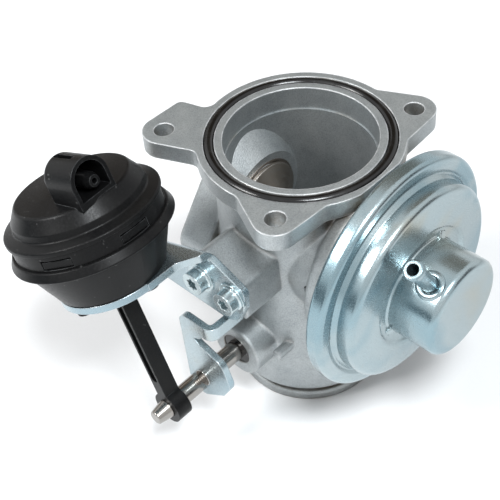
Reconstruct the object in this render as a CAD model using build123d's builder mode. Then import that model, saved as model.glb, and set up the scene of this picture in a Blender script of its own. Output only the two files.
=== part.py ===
"""Exhaust gas recirculation valve with a shut-off flap, in millimetres.

The origin is the centre of the duct's bore on the face of the top flange. +Z is up along the duct.
+X runs along the steel vacuum unit that lifts the poppet valve, and the flap shaft lies along Y,
with its lever and the black vacuum capsule on the -Y side.
"""

import os
from math import cos, radians, sin, tan

from build123d import *

os.makedirs("parts", exist_ok=True)

# Duct, from the top flange down to the hose spigot
throat_r = 24.0
throat_z = -62.0
throat_slope = 4.0
throat_step = 1.8
bore_step = 0.5
bore_depth = 9.0
duct_wall = 4.5
flange_rim = 9.0
flange_t = 6.5
collar_z = -98.0
collar_slope = 1.0
neck_wall = 1.8
neck_h = 5.0
bead_out = 2.2
bead_h = 4.4
cast_bore_r = throat_r + throat_step
bore_r = cast_bore_r + bore_step
duct_r = cast_bore_r + duct_wall
flange_r = bore_r + flange_rim
neck_r = throat_r + neck_wall
bead_r = neck_r + bead_out
spigot_z = collar_z - neck_h - bead_h

# Ears of the top flange
ear_hole_r = 3.5
ear_r = 7.5
ear_x = 20.5
ear_inset = 0.5
ear_root_inset = 0.3
long_ear_out = 3.1
long_ear_y = -26.6
corner_out = 4.7
corner_y = -14.0
corner_r = 2.5
web_r = 8.2
web_points = [(-26.0, -15.0), (-20.0, -18.0)]
ear_blend_r = 4.0
ear_y = flange_r - ear_inset
ear_root_r = duct_r - ear_root_inset
long_ear = (-flange_r - long_ear_out, long_ear_y)
long_ear_corner = (long_ear[0] - corner_out, corner_y)

# Seal in the top flange
oring_wire_r = 1.75
oring_offset = 4.6
oring_proud = 0.6
groove_side = 0.05
oring_mean_r = bore_r + oring_offset

# Poppet valve, on an axis that crosses the duct's axis
valve_z = -37.0
stem_r = 3.5
stem_step = 0.8
seat_out = 7.3
seat_depth = 5.5
seat_bore_r = 11.5
seat_wall = 2.9
seat_chamfer = 1.8
hood_r = 17.2
hood_slope = 1.05
head_gap = 0.4
head_edge = 1.2
head_tulip = 5.0
valve_lift = 6.0
running_gap = 0.05
guide_out = 5.3
guide_wall = 3.0
guide_boss_wall = 2.6
seal_h = 3.4
seal_lip = 2.2
seal_flange = 1.6
seal_flange_h = 1.0
seat_x = seat_out - cast_bore_r
seat_r = seat_bore_r + seat_wall
guide_x = cast_bore_r - guide_out
guide_r = stem_r + running_gap + guide_wall

# Gas inlet flange on the -X side
gas_face_out = 4.7
gas_flange_t = 13.4
gas_flange_r = 18.0
gas_bore_r = 12.6
gas_bolt_r = 24.5
gas_ear_r = 8.5
gas_thread_r = 3.4
gas_thread_depth = 11.0
gas_tilt = 30.4
gas_face_x = -duct_r - gas_face_out

# Steel vacuum unit that lifts the valve
sheet = 1.2
pad_out = 3.7
pad_t = 5.0
pad_margin = 1.6
pad_slope = 3.0
valve_neck_r = 26.0
rim_r = 43.2
rim_from_pad = 4.1
rim_w = 6.3
rim_play = 0.3
rim_hem = 2.1
rim_face = 4.6
base_inset = 8.6
base_slope = 0.6
step_inset = 7.4
step_h = 13.3
groove_d = 0.8
groove_w = 1.3
groove_foot = 1.0
recess_w = 3.5
recess_d = 1.2
recess_slope = 1.4
cup_r = 17.7
cup_h = 17.8
base_screw_ring_r = 18.0
base_screw_r = 2.5
base_screw_depth = 6.0
base_head_r = 4.2
base_head_h = 2.0
base_socket_r = 1.6
base_socket_depth = 1.4
base_hole_r = 8.6
rubber_t = 1.2
roll_inset = 11.2
roll_r = 2.8
clamp_w = 2.2
piston_side = 5.0
piston_edge = 1.6
washer_inset = 3.0
washer_t = 1.0
spring_seat_h = 2.0
spring_seat_play = 0.4
spring_seat_slope = 1.0
spring_wire_r = 1.1
spring_side = 1.9
spring_turns = 5.0
rivet_h = 1.2
pad_x = duct_r + pad_out
rim_x = pad_x + rim_from_pad
step_x = rim_x + step_h
cup_x = step_x + cup_h
base_r = rim_r - base_inset
pad_r = base_r - pad_margin
step_r = rim_r - step_inset
recess_r = cup_r + recess_w
roll_mid_r = rim_r - roll_inset
piston_r = roll_mid_r - piston_side
washer_r = piston_r - washer_inset
spring_mean_r = cup_r - sheet - spring_wire_r - spring_side

# Vacuum tube on the spring cup
tube_from_top = 7.3
tube_angle = 56.8
tube_r = 2.7
tube_wall = 0.7
tube_len = 17.8
tube_bead_out = 0.7
tube_bead_len = 2.4
tube_bead_edge = 0.5
tube_x = cup_x - tube_from_top
tube_hole_r = tube_r - tube_wall
tube_bead_r = tube_r + tube_bead_out

# Flap and its shaft
shaft_z = -75.0
shaft_r = 3.7
flap_gap = 0.4
flap_t = 1.8
flap_screw_y = 11.0
flap_screw_r = 2.0
flap_screw_head_out = 1.4
flap_screw_head_h = 1.8
flap_screw_tip = 0.6
boss_wall = 4.45
boss_front_out = 8.7
boss_rear_out = 3.7
bush_wall = 2.6
bush_inset = 0.6
seal_t = 4.2
seal_gap = 0.4
plug_t = 2.5
plug_gap = 0.5
lug_x = 15.0
lug_z = -72.0
lug_w = 3.0
lug_out = 3.2
boss_front_y = -duct_r - boss_front_out
boss_rear_y = duct_r + boss_rear_out
lug_y = -duct_r - lug_out
shaft_rear_y = boss_rear_y - plug_t - plug_gap
flap_screw_head_r = flap_screw_r + flap_screw_head_out
bush_r = shaft_r + running_gap + bush_wall
boss_r = bush_r + boss_wall

# Lever plate with its stop tab, and the crank pin
lever_t = 2.5
lever_from_boss = 16.3
shaft_neck_step = 0.8
shaft_head_out = 0.35
shaft_head_h = 1.1
crank_r = 7.0
crank_angle = -122.0
tab_x = 6.5
tab_low = 22.4
tab_high = 28.0
tab_gap = 0.5
tab_bend_r = 3.8
pin_r = 3.65
pin_step = 1.05
pin_rivet_out = 0.5
pin_rivet_h = 0.9
pin_groove = 0.3
pin_cone_len = 5.6
pin_cone_step = 1.05
pin_end = 9.0
lever_y = boss_front_y - lever_from_boss
tab_end_y = boss_front_y - tab_gap
shaft_neck_r = shaft_r - shaft_neck_step
shaft_head_r = shaft_neck_r + shaft_head_out
pin_neck_r = pin_r - pin_step
pin_rivet_r = pin_neck_r + pin_rivet_out
pin_tip_r = pin_r - pin_cone_step

# Pull rod, in the plane through the capsule's axis
rod_from_lever = 12.9
rod_w = 6.1
rod_t = 5.0
eye_wall = 2.8
rod_pocket = 1.3
rod_pocket_round = 1.0
rod_pocket_foot = 6.0
rod_pocket_end = 2.0
rod_rim = 0.9
pivot_r = 2.2
pivot_len = 9.0
rod_neck = (3.6, 4.4)
pivot_side_gap = 1.7
pivot_gap = 0.4
pivot_end_gap = 0.25
neck_gap = 0.3
rod_y = lever_y - rod_from_lever
pin_tip_y = rod_y - pin_end
eye_hole_r = pin_r - pin_groove + running_gap
eye_r = eye_hole_r + eye_wall

# Black vacuum capsule, heights measured along its axis from the rod's eye
capsule_tilt = 21.0
plastic_t = 2.0
shell_s = 57.3
collar_r = 24.4
collar_play = 0.05
shell_h = 15.7
shell_mouth_out = 1.8
shell_flare = 7.1
lip_out = 2.5
lip_rise = 0.5
lip_t = 3.1
lip_taper = 1.6
band_h = 8.5
band_wall = 1.75
rim_lip_out = 0.8
rim_lip_h = 1.7
rim_lip_rise = 0.3
cap_wall_h = 2.9
cap_cone_h = 2.5
cap_cone_foot = 0.3
cap_root_inset = 1.6
cap_crown_inset = 3.0
cap_crown_h = 4.7
cap_dome_h = 1.3
bead_t = 1.4
rod_hole_r = 7.8
stud_inset = 3.5
stud_r = 2.3
stud_head_out = 0.9
stud_head_h = 1.3
stud_first_angle = 11.0
stud_count = 4
window_rise = 0.5
window_w = 10.9
window_h = 3.4
window_count = 6
window_first_angle = -58.0
window_side = 0.3
tab_proud = 1.1
tab_root = 1.0
tab_h = 2.4
hood_w = 14.6
hood_h = 13.7
hood_front = 19.5
hood_back = 4.0
hood_side = -1.1
hood_turn = 4.5
hood_wall = 1.4
hood_round = 2.4
hood_sink = 0.8
hose_tube_r = 2.8
hose_tip_r = 1.9
hose_hole_r = 1.0
hose_tip_len = 2.2
hose_tube_lift = 4.9
hose_tube_side = 0.2
hose_tube_front = 18.9
slot_from = 5.8
slot_to = 15.2
slot_w = 1.8
piston_rise = 11.3
piston_plate_inset = 7.9
piston_plate_t = 2.0
piston_hub_r = 7.3
piston_ledge = 2.0
capsule_wire_r = 0.8
capsule_spring_r = 9.5
capsule_turns = 5.0
capsule_spring_gap = 0.3
film_t = 1.0
film_play = 0.4
crown_inner_step = 1.2
root_inner_drop = 1.0
film_fold = 1.8
cap_lining = 0.2
pivot_drop = 3.1
rod_top_rise = 0.7
shell_mouth_r = collar_r + shell_mouth_out
shell_foot_r = shell_mouth_r - shell_flare
shell_mouth_s = shell_s + shell_h
lip_r = shell_mouth_r + lip_out
lip_top_r = lip_r - lip_taper
lip_s = shell_mouth_s + lip_rise
band_r = collar_r + collar_play + band_wall
band_s = lip_s + band_h
rim_lip_r = band_r + rim_lip_out
cap_wall_s = band_s + cap_wall_h
cap_root_r = collar_r - cap_root_inset
cap_root_s = cap_wall_s + cap_cone_h
cap_crown_r = cap_root_r - cap_crown_inset
cap_crown_s = cap_root_s + cap_crown_h
cap_peak_s = cap_crown_s + cap_dome_h
stud_ring_r = shell_foot_r - stud_inset
stud_head_r = stud_r + stud_head_out
window_s = lip_s + lip_t + window_rise
piston_s = shell_s + piston_rise
piston_plate_r = collar_r - piston_plate_inset
pivot_s = piston_s - pivot_drop
rod_top = shell_s + rod_top_rise

# Bracket that carries the capsule
plate = 2.5
disc_margin = 0.2
arm_left = 2.0
arm_right = 20.0
arm_flare = 25.5
arm_flare_from = 12.5
bracket_out = 16.7
bend_r = 4.5
bracket_outline = [(-26.0, -46.2, 2.0), (-23.0, -31.0, 0.0), (-4.0, -23.7, 0.0), (0.4, -20.8, 2.5),
                   (16.0, -27.2, 3.0), (15.6, -36.0, 4.0), (12.2, -43.2, 3.0), (7.0, -46.2, 3.0)]
block_outline = [(-9.5, -44.0, 1.5), (-9.5, -27.5, 2.0), (-4.5, -22.5, 1.5), (13.2, -28.4, 1.5),
                 (13.8, -44.0, 1.5)]
bracket_screws_at = [(-4.4, -33.6), (9.8, -33.4)]
screw_r = 2.5
screw_grip = 10.0
screw_play = 0.2
screw_head_r = 4.3
screw_head_h = 5.2
screw_washer_r = 5.8
screw_washer_h = 1.2
socket_r = 2.3
socket_depth = 3.0
bracket_y = -duct_r - bracket_out

# Places worked out from the sizes above
crank = (crank_r * cos(radians(crank_angle)), crank_r * sin(radians(crank_angle)))
capsule_up = (-sin(radians(capsule_tilt)), 0.0, cos(radians(capsule_tilt)))
capsule_side = (cos(radians(capsule_tilt)), 0.0, sin(radians(capsule_tilt)))
eye_point = (crank[0], rod_y, shaft_z + crank[1])
capsule_plane = Plane(origin=eye_point, x_dir=capsule_side, z_dir=capsule_up)
capsule_section = Plane(origin=eye_point, x_dir=capsule_side, z_dir=(0, -1, 0))
capsule_fold = Plane(origin=eye_point, x_dir=(0, 1, 0), z_dir=capsule_side)
capsule_axis = Axis(eye_point, capsule_up)
hood_plane = capsule_plane.rotated((0, 0, hood_turn))
hood_fold = Plane(origin=eye_point, x_dir=hood_plane.y_dir, z_dir=hood_plane.x_dir)
valve_section = Plane(origin=(0, 0, valve_z), x_dir=(1, 0, 0), z_dir=(0, -1, 0))
valve_axis = Axis((0, 0, valve_z), (1, 0, 0))
diaphragm_x = rim_x + 2 * sheet
piston_x = diaphragm_x + rubber_t


def side_plane(y):
    """Plane facing -Y at the given y, with X across and Z up."""
    return Plane.XZ.offset(-y)


def end_plane(x):
    """Plane facing +X on the valve's axis, with Y across and Z up."""
    return Plane(origin=(x, 0, valve_z), x_dir=(0, 1, 0), z_dir=(1, 0, 0))


def outline(corners):
    """Fill a closed outline. Each corner is (across, up, rounding)."""
    with BuildLine() as path:
        FilletPolyline(*[(c[0], c[1]) for c in corners], radius=[c[2] for c in corners], close=True)
    make_face(path.edges())


def pressed(corners, thickness):
    """Fill a wall of pressed sheet whose outer side follows the corners. The wall lies to their right."""
    points = [Vector(c[0], c[1]) for c in corners]
    ways = [(b - a).normalized() for a, b in zip(points, points[1:])]
    inner = []
    for i, point in enumerate(points):
        before = ways[max(i - 1, 0)]
        after = ways[min(i, len(ways) - 1)]
        middle = Vector(before.Y + after.Y, -before.X - after.X) / (1 + before.dot(after))
        bends_right = before.cross(after).Z < 0
        rounding = corners[i][2] - thickness if bends_right else corners[i][2] + thickness
        spot = point + middle * thickness
        inner.append((spot.X, spot.Y, max(rounding, 0) if corners[i][2] else 0))
    outline(corners + inner[::-1])


def ring(inner_r, outer_r):
    """Flat ring about the sketch's origin."""
    Circle(outer_r)
    Circle(inner_r, mode=Mode.SUBTRACT)


# Top flange seen from above, with its three ears blended into the round part
with BuildSketch() as flange_plan:
    Circle(flange_r)
    for side in (-1, 1):
        with BuildSketch(mode=Mode.PRIVATE) as near_ear:
            Circle(ear_root_r)
            with Locations((ear_x, side * ear_y)):
                Circle(ear_r)
            make_hull()
        add(near_ear.sketch)
    with BuildSketch(mode=Mode.PRIVATE) as far_ear:
        with Locations(long_ear):
            Circle(ear_r)
        with Locations(long_ear_corner):
            Circle(corner_r)
        with Locations(*web_points):
            Circle(web_r)
        make_hull()
    add(far_ear.sketch)
    creases = [v for v in flange_plan.vertices() if abs(Vector(v.X, v.Y).length - flange_r) < 0.01]
    fillet(creases, ear_blend_r)

# Gas inlet flange seen along X, an oval tilted down towards the capsule
gas_bolts = [(side * gas_bolt_r * cos(radians(gas_tilt)), side * gas_bolt_r * sin(radians(gas_tilt)))
             for side in (-1, 1)]
with BuildSketch(end_plane(gas_face_x)) as gas_plan:
    Circle(gas_flange_r)
    with Locations(*gas_bolts):
        Circle(gas_ear_r)
    make_hull()

# Cast housing: outer forms first, then the bores, then what stands inside the bore
with BuildPart() as housing:
    with BuildSketch(Plane.XZ):
        outline([(0, 0, 0), (duct_r, 0, 0), (duct_r, collar_z, 1.0), (neck_r, collar_z - collar_slope, 0.8),
                 (neck_r, collar_z - neck_h, 0.4), (bead_r, collar_z - neck_h, 1.0),
                 (bead_r, spigot_z, 0.6), (0, spigot_z, 0)])
    revolve(axis=Axis.Z)
    add(flange_plan.sketch)
    extrude(amount=-flange_t)
    with BuildSketch(valve_section):
        outline([(0, 0, 0), (0, valve_neck_r, 0), (pad_x - pad_t - pad_slope, valve_neck_r, 2.0),
                 (pad_x - pad_t, pad_r, 1.5), (pad_x, pad_r, 0.6), (pad_x, 0, 0)])
    revolve(axis=valve_axis)
    add(gas_plan.sketch)
    extrude(amount=gas_flange_t, dir=(1, 0, 0))
    with BuildSketch(side_plane(-throat_r)):
        outline(block_outline)
    extrude(amount=-throat_r - (bracket_y + plate))
    with BuildSketch(side_plane(-throat_r)):
        with Locations((0, shaft_z)):
            Circle(boss_r)
    extrude(amount=-throat_r - boss_front_y)
    with BuildSketch(side_plane(throat_r)):
        with Locations((0, shaft_z)):
            Circle(boss_r)
    extrude(amount=-(boss_rear_y - throat_r))
    with BuildSketch(side_plane(-throat_r)):
        with Locations((lug_x, lug_z)):
            Rectangle(lug_w, lug_w)
    extrude(amount=-throat_r - lug_y)
    # Duct bore with its throat for the flap
    with BuildSketch(Plane.XZ):
        outline([(0, 0, 0), (bore_r, 0, 0), (bore_r, -bore_depth, 0), (cast_bore_r, -bore_depth, 0),
                 (cast_bore_r, throat_z + throat_slope, 6.0), (throat_r, throat_z, 6.0),
                 (throat_r, spigot_z, 0), (0, spigot_z, 0)])
    revolve(axis=Axis.Z, mode=Mode.SUBTRACT)
    # Sloping hood round the valve seat, and the boss of the stem guide
    with BuildSketch(valve_section):
        outline([(seat_x, 0, 0), (seat_x, hood_r, 0), (-duct_r, hood_r + (duct_r + seat_x) * hood_slope, 0),
                 (-duct_r, 0, 0)])
    hood = revolve(axis=valve_axis, mode=Mode.PRIVATE)
    with BuildSketch(Plane.XY.offset(-bore_depth)):
        Circle(cast_bore_r + duct_wall / 2)
    core = extrude(amount=spigot_z + bore_depth, mode=Mode.PRIVATE)
    add(hood & core)
    with BuildSketch(end_plane(guide_x)):
        Circle(guide_r + guide_boss_wall)
    extrude(amount=pad_x - guide_x - pad_t)
    # Gas port with the seat's pocket
    with BuildSketch(valve_section):
        outline([(gas_face_x, 0, 0), (gas_face_x, gas_bore_r, 0), (seat_x - seat_depth, gas_bore_r, 0),
                 (seat_x - seat_depth, seat_r, 0), (seat_x, seat_r, 0), (seat_x, 0, 0)])
    revolve(axis=valve_axis, mode=Mode.SUBTRACT)
    with BuildSketch(end_plane(guide_x)):
        Circle(guide_r)
    extrude(amount=pad_x - guide_x, mode=Mode.SUBTRACT)
    with BuildSketch(end_plane(gas_face_x)):
        with Locations(*gas_bolts):
            Circle(gas_thread_r)
    extrude(amount=gas_thread_depth, mode=Mode.SUBTRACT)
    with BuildSketch(end_plane(pad_x)):
        with PolarLocations(base_screw_ring_r, 3, start_angle=90):
            Circle(base_screw_r)
    extrude(amount=-base_screw_depth, mode=Mode.SUBTRACT)
    # Flat on the flange's edge that lets the vacuum unit sit on its pad
    with BuildSketch(end_plane(pad_x)):
        Circle(rim_r)
    extrude(amount=flange_t, mode=Mode.SUBTRACT)
    # Shaft bore, through both bosses
    with BuildSketch(side_plane(boss_front_y)):
        with Locations((0, shaft_z)):
            Circle(bush_r)
    extrude(amount=-(boss_rear_y - boss_front_y), mode=Mode.SUBTRACT)
    with BuildSketch(side_plane(bracket_y + plate)):
        with Locations(*bracket_screws_at):
            Circle(screw_r)
    extrude(amount=-screw_grip, mode=Mode.SUBTRACT)
    # Holes of the ears and the seal's groove
    with BuildSketch():
        with Locations((ear_x, -ear_y), (ear_x, ear_y), long_ear):
            Circle(ear_hole_r)
    extrude(amount=-flange_t, mode=Mode.SUBTRACT)
    with BuildSketch():
        ring(oring_mean_r - oring_wire_r - groove_side, oring_mean_r + oring_wire_r + groove_side)
    extrude(amount=-(2 * oring_wire_r - oring_proud), mode=Mode.SUBTRACT)
housing.part.label = "housing"

with BuildPart() as flange_oring:
    with BuildSketch(Plane.XZ):
        with Locations((oring_mean_r, oring_proud - oring_wire_r)):
            Circle(oring_wire_r)
    revolve(axis=Axis.Z)
flange_oring.part.label = "flange_oring"

# Seat ring pressed into the hood, and the poppet that closes it from the duct's side
with BuildPart() as valve_seat_ring:
    with BuildSketch(valve_section):
        outline([(seat_x - seat_depth, seat_bore_r, 0), (seat_x - seat_depth, seat_r, 0),
                 (seat_x, seat_r, 0), (seat_x, seat_bore_r + seat_chamfer, 0),
                 (seat_x - seat_chamfer, seat_bore_r, 0)])
    revolve(axis=valve_axis)
valve_seat_ring.part.label = "valve_seat_ring"

head_front_x = seat_x - seat_chamfer / 2
head_front_r = seat_bore_r + seat_chamfer / 2 - head_gap
head_r = head_front_r + (seat_x + head_gap - head_front_x)
rivet_x = piston_x + sheet + spring_seat_h
stem_end_r = stem_r - stem_step
with BuildPart() as egr_valve:
    with BuildSketch(valve_section):
        outline([(head_front_x, 0, 0), (head_front_x, head_front_r, 0), (seat_x + head_gap, head_r, 0),
                 (seat_x + head_gap + head_edge, head_r, 0),
                 (seat_x + head_gap + head_edge + head_tulip, stem_r, 4.0),
                 (diaphragm_x - washer_t, stem_r, 0), (diaphragm_x - washer_t, stem_end_r, 0),
                 (rivet_x, stem_end_r, 0), (rivet_x, stem_r + stem_step, 0), (rivet_x + rivet_h, stem_r, 0),
                 (rivet_x + rivet_h, 0, 0)])
    revolve(axis=valve_axis)
egr_valve.part.label = "egr_valve"

with BuildPart() as valve_guide:
    with BuildSketch(end_plane(guide_x)):
        ring(stem_r + running_gap, guide_r)
    extrude(amount=pad_x - guide_x)
valve_guide.part.label = "valve_guide"

with BuildPart() as stem_seal:
    with BuildSketch(valve_section):
        outline([(pad_x, stem_r + running_gap, 0), (pad_x + seal_h, stem_r + running_gap, 0),
                 (pad_x + seal_h, stem_r + seal_lip, 0),
                 (pad_x + sheet + seal_flange_h, base_hole_r + seal_flange, 0),
                 (pad_x + sheet, base_hole_r + seal_flange, 0), (pad_x + sheet, base_hole_r, 0),
                 (pad_x, base_hole_r, 0)])
    revolve(axis=valve_axis)
stem_seal.part.label = "stem_seal"

# Lower shell: flat base, sloping wall and the flange that the rim is rolled round
with BuildPart() as actuator_base:
    with BuildSketch(valve_section):
        pressed([(pad_x, base_hole_r, 0), (pad_x, base_r, 2.0),
                 (rim_x + sheet, base_r + (rim_x + sheet - pad_x) * base_slope, 1.0),
                 (rim_x + sheet, rim_r - sheet - rim_play, 0)], sheet)
    revolve(axis=valve_axis)
    with BuildSketch(end_plane(pad_x)):
        with PolarLocations(base_screw_ring_r, 3, start_angle=90):
            Circle(base_screw_r + screw_play)
    extrude(amount=sheet, mode=Mode.SUBTRACT)
actuator_base.part.label = "actuator_base"

# Upper shell: rolled rim, groove, step, recess and the spring cup
tube_plane = Plane(origin=(tube_x, 0, valve_z), x_dir=(1, 0, 0),
                   z_dir=(0, -cos(radians(tube_angle)), sin(radians(tube_angle))))
with BuildPart() as actuator_shell:
    with BuildSketch(valve_section):
        pressed([(rim_x, rim_r - rim_hem, 0), (rim_x, rim_r, 1.5), (rim_x + rim_w, rim_r, 1.9),
                 (rim_x + rim_w, rim_r - rim_face, 1.0),
                 (rim_x + rim_w - groove_d, step_r + groove_w, 0.5),
                 (rim_x + rim_w + groove_foot, step_r, 0.6), (step_x, step_r, 2.2),
                 (step_x + recess_d, recess_r + recess_slope, 1.5), (step_x, recess_r, 0.8),
                 (step_x, cup_r, 1.0), (cup_x, cup_r, 2.4), (cup_x, 0, 0)], sheet)
    revolve(axis=valve_axis)
    with BuildSketch(tube_plane):
        Circle(tube_r)
    extrude(amount=cup_r + sheet, mode=Mode.SUBTRACT)
actuator_shell.part.label = "actuator_shell"

with BuildPart() as actuator_nipple:
    with BuildSketch(tube_plane.offset(cup_r - 2 * sheet)):
        Circle(tube_r)
    extrude(amount=tube_len + 2 * sheet)
    with BuildSketch(tube_plane.offset(cup_r + tube_len - tube_bead_len)):
        Circle(tube_bead_r)
    extrude(amount=tube_bead_len)
    chamfer(actuator_nipple.faces().sort_by(Axis((0, 0, 0), tube_plane.z_dir))[-1].edges(), tube_bead_edge)
    with BuildSketch(tube_plane.offset(cup_r - 2 * sheet)):
        Circle(tube_hole_r)
    extrude(amount=tube_len + 2 * sheet, mode=Mode.SUBTRACT)
actuator_nipple.part.label = "actuator_nipple"

with BuildPart() as base_screws:
    with BuildSketch(end_plane(pad_x + sheet)):
        with PolarLocations(base_screw_ring_r, 3, start_angle=90):
            Circle(base_head_r)
    extrude(amount=base_head_h)
    with BuildSketch(end_plane(pad_x + sheet)):
        with PolarLocations(base_screw_ring_r, 3, start_angle=90):
            Circle(base_screw_r)
    extrude(amount=-sheet - base_screw_depth)
    with BuildSketch(end_plane(pad_x + sheet + base_head_h)):
        with PolarLocations(base_screw_ring_r, 3, start_angle=90):
            RegularPolygon(base_socket_r, 6)
    extrude(amount=-base_socket_depth, mode=Mode.SUBTRACT)
base_screws.part.label = "base_screws"

# Diaphragm: flat centre, one rolled convolution and a bead clamped in the rim
with BuildPart() as actuator_diaphragm:
    with BuildSketch(valve_section):
        with Locations((diaphragm_x, roll_mid_r)):
            Circle(roll_r + rubber_t)
            Circle(roll_r, mode=Mode.SUBTRACT)
        with Locations((diaphragm_x, roll_mid_r)):
            Rectangle(roll_r + 2 * rubber_t, 2 * (roll_r + 2 * rubber_t), align=(Align.MIN, Align.CENTER),
                      mode=Mode.SUBTRACT)
        with Locations((diaphragm_x, stem_end_r)):
            Rectangle(rubber_t, roll_mid_r - roll_r - stem_end_r, align=Align.MIN)
        with Locations((diaphragm_x, roll_mid_r + roll_r)):
            Rectangle(rubber_t, rim_r - sheet - clamp_w - roll_mid_r - roll_r, align=Align.MIN)
        with Locations((diaphragm_x, rim_r - sheet - rim_play)):
            Rectangle(rim_w - 3 * sheet - rim_play / 2, clamp_w, align=(Align.MIN, Align.MAX))
    revolve(axis=valve_axis)
actuator_diaphragm.part.label = "actuator_diaphragm"

with BuildPart() as actuator_washer:
    with BuildSketch(end_plane(diaphragm_x - washer_t)):
        ring(stem_end_r, washer_r)
    extrude(amount=washer_t)
actuator_washer.part.label = "actuator_washer"

spring_seat_r = spring_mean_r - spring_wire_r - spring_seat_play
with BuildPart() as actuator_piston:
    with BuildSketch(valve_section):
        outline([(piston_x, stem_end_r, 0), (piston_x, piston_r, 0),
                 (piston_x + sheet + piston_edge, piston_r, 0),
                 (piston_x + sheet + piston_edge, piston_r - sheet, 0),
                 (piston_x + sheet, piston_r - sheet, 0.8), (piston_x + sheet, spring_seat_r, 0),
                 (rivet_x, spring_seat_r - spring_seat_slope, 0), (rivet_x, stem_end_r, 0)])
    revolve(axis=valve_axis)
actuator_piston.part.label = "actuator_piston"


def coil(origin, direction, length, mean_r, wire_r, turns):
    """Compression spring that stands on its origin and fills the length with its wire."""
    path = Helix(pitch=(length - 2 * wire_r) / turns, height=length - 2 * wire_r, radius=mean_r,
                 center=Vector(*origin) + Vector(*direction) * wire_r, direction=direction)
    return path


valve_spring_len = cup_x - sheet - piston_x - sheet
with BuildPart() as actuator_spring:
    with BuildLine():
        wire = coil((piston_x + sheet, 0, valve_z), (1, 0, 0), valve_spring_len, spring_mean_r,
                    spring_wire_r, spring_turns)
    with BuildSketch(Plane(origin=wire @ 0, z_dir=wire % 0)):
        RegularPolygon(spring_wire_r, 8)
    sweep()
actuator_spring.part.label = "actuator_spring"

# Flap shaft, milled flat where the flap sits, and riveted over the lever
flap_r = throat_r - flap_gap
with BuildPart() as flap_shaft:
    with BuildSketch(side_plane(shaft_rear_y)):
        with Locations((0, shaft_z)):
            Circle(shaft_r)
    extrude(amount=shaft_rear_y - lever_y - lever_t)
    with BuildSketch(side_plane(lever_y + lever_t)):
        with Locations((0, shaft_z)):
            Circle(shaft_neck_r)
    extrude(amount=lever_t)
    with BuildSketch(side_plane(lever_y)):
        with Locations((0, shaft_z)):
            Circle(shaft_head_r)
    extrude(amount=shaft_head_h)
    with BuildSketch(side_plane(flap_r)):
        with Locations((0, shaft_z)):
            Rectangle(shaft_r, 2 * shaft_r, align=(Align.MIN, Align.CENTER))
    extrude(amount=2 * flap_r, mode=Mode.SUBTRACT)
    with BuildSketch(Plane.YZ):
        with Locations((-flap_screw_y, shaft_z), (flap_screw_y, shaft_z)):
            Circle(flap_screw_r)
    extrude(amount=-shaft_r, mode=Mode.SUBTRACT)
flap_shaft.part.label = "flap_shaft"

with BuildPart() as flap_disc:
    with BuildSketch(Plane.YZ):
        with Locations((0, shaft_z)):
            Circle(flap_r)
        with Locations((-flap_screw_y, shaft_z), (flap_screw_y, shaft_z)):
            Circle(flap_screw_r, mode=Mode.SUBTRACT)
    extrude(amount=flap_t)
flap_disc.part.label = "flap_disc"

with BuildPart() as flap_screws:
    with BuildSketch(Plane.YZ.offset(flap_t)):
        with Locations((-flap_screw_y, shaft_z), (flap_screw_y, shaft_z)):
            Circle(flap_screw_head_r)
    extrude(amount=flap_screw_head_h)
    with BuildSketch(Plane.YZ.offset(flap_t)):
        with Locations((-flap_screw_y, shaft_z), (flap_screw_y, shaft_z)):
            Circle(flap_screw_r)
    extrude(amount=-flap_t - shaft_r + flap_screw_tip)
flap_screws.part.label = "flap_screws"

# Bushes, lip seal and plug in the shaft bore
bush_end_y = throat_r + bush_inset
with BuildPart() as shaft_bush_front:
    with BuildSketch(side_plane(-bush_end_y)):
        with Locations((0, shaft_z)):
            ring(shaft_r + running_gap, bush_r)
    extrude(amount=-bush_end_y - boss_front_y - seal_t - seal_gap)
shaft_bush_front.part.label = "shaft_bush_front"

with BuildPart() as shaft_seal:
    with BuildSketch(side_plane(boss_front_y + seal_t + seal_gap)):
        with Locations((0, shaft_z)):
            ring(shaft_r + running_gap, bush_r)
    extrude(amount=seal_t)
shaft_seal.part.label = "shaft_seal"

with BuildPart() as shaft_bush_rear:
    with BuildSketch(side_plane(bush_end_y)):
        with Locations((0, shaft_z)):
            ring(shaft_r + running_gap, bush_r)
    extrude(amount=-(shaft_rear_y - bush_end_y))
shaft_bush_rear.part.label = "shaft_bush_rear"

with BuildPart() as shaft_plug:
    with BuildSketch(side_plane(boss_rear_y)):
        with Locations((0, shaft_z)):
            Circle(bush_r)
    extrude(amount=plug_t)
shaft_plug.part.label = "shaft_plug"

# Lever plate: corners are given from the shaft's axis
lever_corners = [(-9.5, tab_high, 4.2), (1.5, tab_high, 0), (1.5, tab_low, 0), (0.4, 20.6, 0.8),
                 (-3.7, 18.6, 0.7), (-0.8, 16.6, 0.7), (9.6, 13.4, 5.0), (13.2, 3.5, 6.0),
                 (9.4, -3.6, 3.0), (-0.4, -10.9, 2.5), (-8.0, -11.6, 4.8)]
with BuildPart() as flap_lever:
    with BuildSketch(side_plane(lever_y + lever_t)):
        outline([(x, z + shaft_z, rounding) for x, z, rounding in lever_corners])
    extrude(amount=lever_t)
    with BuildSketch(Plane.XY.offset(shaft_z + tab_low)):
        outline([(0, lever_y, 0), (tab_x, lever_y, tab_bend_r), (tab_x, tab_end_y, 0.6),
                 (tab_x - lever_t, tab_end_y, 0.6), (tab_x - lever_t, lever_y + lever_t, tab_bend_r - lever_t),
                 (0, lever_y + lever_t, 0)])
    extrude(amount=tab_high - tab_low)
    with BuildSketch(side_plane(lever_y + lever_t)):
        with Locations((0, shaft_z)):
            Circle(shaft_neck_r)
        with Locations((crank[0], shaft_z + crank[1])):
            Circle(pin_neck_r)
    extrude(amount=lever_t, mode=Mode.SUBTRACT)
flap_lever.part.label = "flap_lever"

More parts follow.
